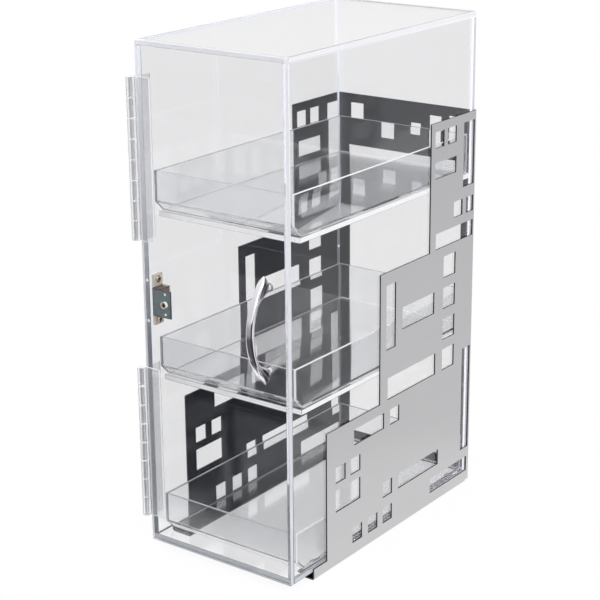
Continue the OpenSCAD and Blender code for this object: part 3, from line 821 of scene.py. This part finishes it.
def ferrite():
    finish = Finish("magnet_ferrite")
    grain = finish.noise(finish.place(), 1600.0, 4.0)
    colour = finish.blend(grain, (0.17, 0.11, 0.08), (0.32, 0.22, 0.16))
    height = finish.bump(grain, 0.03 * MM, 0.6)
    return finish.done(finish.shade(Base_Color=colour, Roughness=0.55 + 0.2 * grain, Normal=height))


def zinc(node, pale, dark, edge_shade):
    """Rolled and plated plate: faint spangle, a grain along its height and a border darkened as painted
    shade.
    """
    finish = Finish(node + "_zinc")
    place = finish.place()
    spangle = finish.add(
        "ShaderNodeTexVoronoi", {"feature": "F1"}, {"Vector": place, "Scale": 420.0}, "Distance"
    ).ramp(0.0, 0.8)
    rolled = finish.noise(place, 700.0, 3.0, (1.0, 1.0, 0.15))
    # Painted shade along the plate's edges.
    by_edge = 1 - second_least(edges(finish, place, *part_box(node))).ramp(0.3 * MM, 0.8 * MM)
    colour = finish.blend(spangle * 0.6 + rolled * 0.4, dark, pale)
    return finish.done(
        finish.shade(
            Base_Color=finish.blend(by_edge, colour, edge_shade),
            Roughness=0.34 + 0.16 * rolled,
            Metallic=0.35,
            Normal=finish.bump(rolled, 0.02 * MM, 0.4),
        )
    )


dress("catch_bracket", cream_plastic())
dress("catch_magnet", ferrite())
# The third colour of each plate is painted shade along its edges.
for node, pale, dark, edge_shade in (
    ("catch_pole_plates", (0.34, 0.25, 0.19), (0.24, 0.17, 0.13), (0.08, 0.06, 0.06)),
    ("strike_plate", (0.27, 0.34, 0.35), (0.16, 0.21, 0.22), (0.05, 0.06, 0.065)),
):
    dress(node, zinc(node, pale, dark, edge_shade))


# Floor, light and camera: a small round white table in a white studio. The room in front of it is
# darker, as it is round a set, so that the clear sheet and the chrome have something to show. The camera
# stands to the right of the door and a little over it.

FLOOR_R = 0.30
FLOOR_POINTS = 96
FLOOR_GAP = 0.2 * MM
FLOOR_FADE = (0.6 * FLOOR_R, 0.97 * FLOOR_R)
FLOOR_FRONT, FLOOR_REAR = (-0.24, -0.17), (-0.08, 0.0)
FLOOR_PAINT = (0.95, 0.95, 0.95)
SHADOW_SHARE = 0.10
ROOM_HIGH, ROOM_FRONT, ROOM_LOW = (0.75, 0.745, 0.76), (0.36, 0.355, 0.385), (0.10, 0.10, 0.11)
WALL_HIGH, WALL_GREY = (0.96, 0.96, 0.97), (0.74, 0.74, 0.75)
FILL_NEAR, FILL_FAR = (1.25, 1.25, 1.26), (0.80, 0.80, 0.80)
WHITE_BOARD = (1.1, 1.1, 1.1)
BLACK_BOARD = (0.05, 0.05, 0.06)
BLACK_CLOTH = (0.02, 0.02, 0.03)


def mirrored_out(finish):
    """1 on a ray that has been mirrored once, and then left through clear sheet."""
    once = 1 - abs(finish.ray("Glossy Depth") - 1).least(1.0)
    return finish.ray("Is Transmission Ray") * once


def white_floor():
    """White to every ray that looks at it, with a share of plain white paint that takes the shadow and
    fades out towards the rim. Where things mirror its front, it is as dark as the room beyond it, and
    rays that a sheet has mirrored see its rear painted black, as a painted shadow of the case."""
    finish = Finish("white_floor")
    x, y = finish.parts(finish.place())[:2]
    share = SHADOW_SHARE * (1 - (x * x + y * y).root().ramp(*FLOOR_FADE))
    paint = finish.add("ShaderNodeBsdfDiffuse", None, {"Color": FLOOR_PAINT})
    out, glossy = mirrored_out(finish), finish.ray("Is Glossy Ray")
    in_front = glossy.most(out) * (1 - y.ramp(*FLOOR_FRONT))
    # Painted shadow: rays that a sheet has mirrored see the floor behind the case black.
    behind = out * y.ramp(*FLOOR_REAR)
    colour = finish.blend(behind, finish.blend(in_front, WHITE, ROOM_LOW), BLACK_BOARD)
    glow = finish.add("ShaderNodeEmission", None, {"Color": colour, "Strength": 1.0})
    seen = finish.ray("Is Camera Ray").most(glossy).most(finish.ray("Is Transmission Ray"))
    return finish.done(finish.mix(seen * (1 - share), paint, glow))


floor_mesh = bpy.data.meshes.new("floor")
turn = np.linspace(0, 2 * np.pi, FLOOR_POINTS, endpoint=False)
floor_z = np.full(FLOOR_POINTS, cad_lo[2] - FLOOR_GAP)
floor_rim = np.stack([FLOOR_R * np.cos(turn), FLOOR_R * np.sin(turn), floor_z], -1)
floor_mesh.from_pydata(floor_rim.tolist(), [], [list(range(FLOOR_POINTS))])
floor_mesh.materials.append(white_floor())
floor = bpy.data.objects.new("floor", floor_mesh)
bpy.context.scene.collection.objects.link(floor)

world = bpy.data.worlds.new("studio")
bpy.context.scene.world = world
studio = Finish("studio", world)
dx, dy, dz = studio.parts(studio.add("ShaderNodeTexCoord", output="Generated"))

# What the case mirrors: a pale wall behind with a grey band at the case's height, and a room in front
# that is pale high up and dark low down. A black cloth hangs low at the right, and a white board over a
# black one stands at the front right. Each edge is soft between the two values of its ramp, which are
# parts of the ray's unit direction.
ahead = 1 - dy.ramp(-0.50, -0.10)
front = studio.blend(dz.ramp(-0.40, -0.24), ROOM_LOW, ROOM_FRONT)
front = studio.blend(dz.ramp(-0.20, 0.08), front, ROOM_HIGH)
wall = studio.blend(dz.ramp(-0.46, -0.16), WHITE, WALL_GREY)
wall = studio.blend(dz.ramp(0.05, 0.25), wall, WALL_HIGH)
in_front = ahead * (1 - dz.ramp(0.35, 0.8)) * (1 - dx.ramp(0.58, 0.66))
room = studio.blend(in_front.most(1 - dz.ramp(-0.92, -0.70)), wall, front)
cloth = dx.ramp(0.60, 0.68) * (1 - dz.ramp(-0.38, -0.30)) * (1 - dy.ramp(0.35, 0.6))
room = studio.blend(cloth, room, BLACK_CLOTH)
boards = dx.ramp(-0.25, 0.10) * (1 - dy.ramp(-0.25, -0.10))
room = studio.blend(boards, room, studio.blend(dz.ramp(0.0, 0.06), BLACK_BOARD, WHITE_BOARD))

# What lights the dull surfaces is brighter from the camera's side. Seen straight or through the sheet,
# the room is white. What a sheet has mirrored and then lets out sees a black board low at the rear right,
# and the room in front.
fill = studio.blend((dy - dx * 0.6).ramp(-0.7, 0.3), FILL_NEAR, FILL_FAR)
colour = studio.blend(studio.ray("Is Glossy Ray"), fill, room)
seen = studio.ray("Is Camera Ray").most(studio.ray("Is Transmission Ray"))
colour = studio.blend(seen, colour, WHITE)
out = mirrored_out(studio)
low_rear = dx.ramp(0.28, 0.42) * dy.ramp(0.40, 0.55) * (1 - dz.ramp(-0.16, -0.06))
colour = studio.blend(out * low_rear, colour, BLACK_BOARD)
colour = studio.blend(out * ahead, colour, front)
light = studio.add("ShaderNodeBackground", None, {"Color": colour, "Strength": 1.0})
studio.add("ShaderNodeOutputWorld", None, {"Surface": light})
world.cycles.sampling_method = "NONE"


def lamp(name, place, aim, size, watts):
    """An oblong soft box that faces its aim."""
    made = bpy.data.lights.new(name, "AREA")
    made.shape, made.size, made.size_y, made.energy = "RECTANGLE", *size, watts
    holder = bpy.data.objects.new(name, made)
    bpy.context.scene.collection.objects.link(holder)
    holder.location = place
    way = np.array(aim, float) - np.array(place, float)
    holder.rotation_mode = "QUATERNION"
    holder.rotation_quaternion = Vector(way).to_track_quat("-Z", "Y")


lamp("overhead_softbox", (0.2, -0.3, 1.9), (0.0, 0.0, 0.2), (1.4, 1.4), 9.0)
lamp("right_softbox", (1.6, -1.0, 1.35), (0.0, 0.0, 0.25), (0.5, 1.2), 7.0)

# The lens and place come from the case's corners and the steel's cut-outs, whose sizes are known.
AZIMUTH, ELEVATION, ROLL = 36.741, 17.657, -0.510
SENSOR, LENS, SHIFT_UP = 36.0, 100.33, -0.04
NEAR, FAR = 0.05, 50.0
CAMERA_PLACE = (0.90263, -1.21648, 0.73227)

az, el, roll = np.radians([AZIMUTH, ELEVATION, ROLL])
back = np.array([np.sin(az) * np.cos(el), -np.cos(az) * np.cos(el), np.sin(el)])
level = np.array([np.cos(az), np.sin(az), 0.0])
upright = np.cross(back, level)
right = np.cos(roll) * level + np.sin(roll) * upright
up = -np.sin(roll) * level + np.cos(roll) * upright

camera_data = bpy.data.cameras.new("camera")
camera_data.sensor_width, camera_data.lens, camera_data.shift_y = SENSOR, LENS, SHIFT_UP
camera_data.clip_start, camera_data.clip_end = NEAR, FAR
camera = bpy.data.objects.new("camera", camera_data)
bpy.context.scene.collection.objects.link(camera)
camera.matrix_world = Matrix(
    [[right[k], up[k], back[k], CAMERA_PLACE[k]] for k in range(3)] + [[0.0, 0.0, 0.0, 1.0]]
)
bpy.context.scene.camera = camera

# A ray passes many clear sheets before it leaves the case.
BOUNCES, CLEAR_PASSES = 40, 32
scene = bpy.context.scene
scene.view_settings.view_transform = "Standard"
scene.cycles.max_bounces = BOUNCES
scene.cycles.transmission_bounces = BOUNCES
scene.cycles.glossy_bounces = BOUNCES
scene.cycles.transparent_max_bounces = CLEAR_PASSES
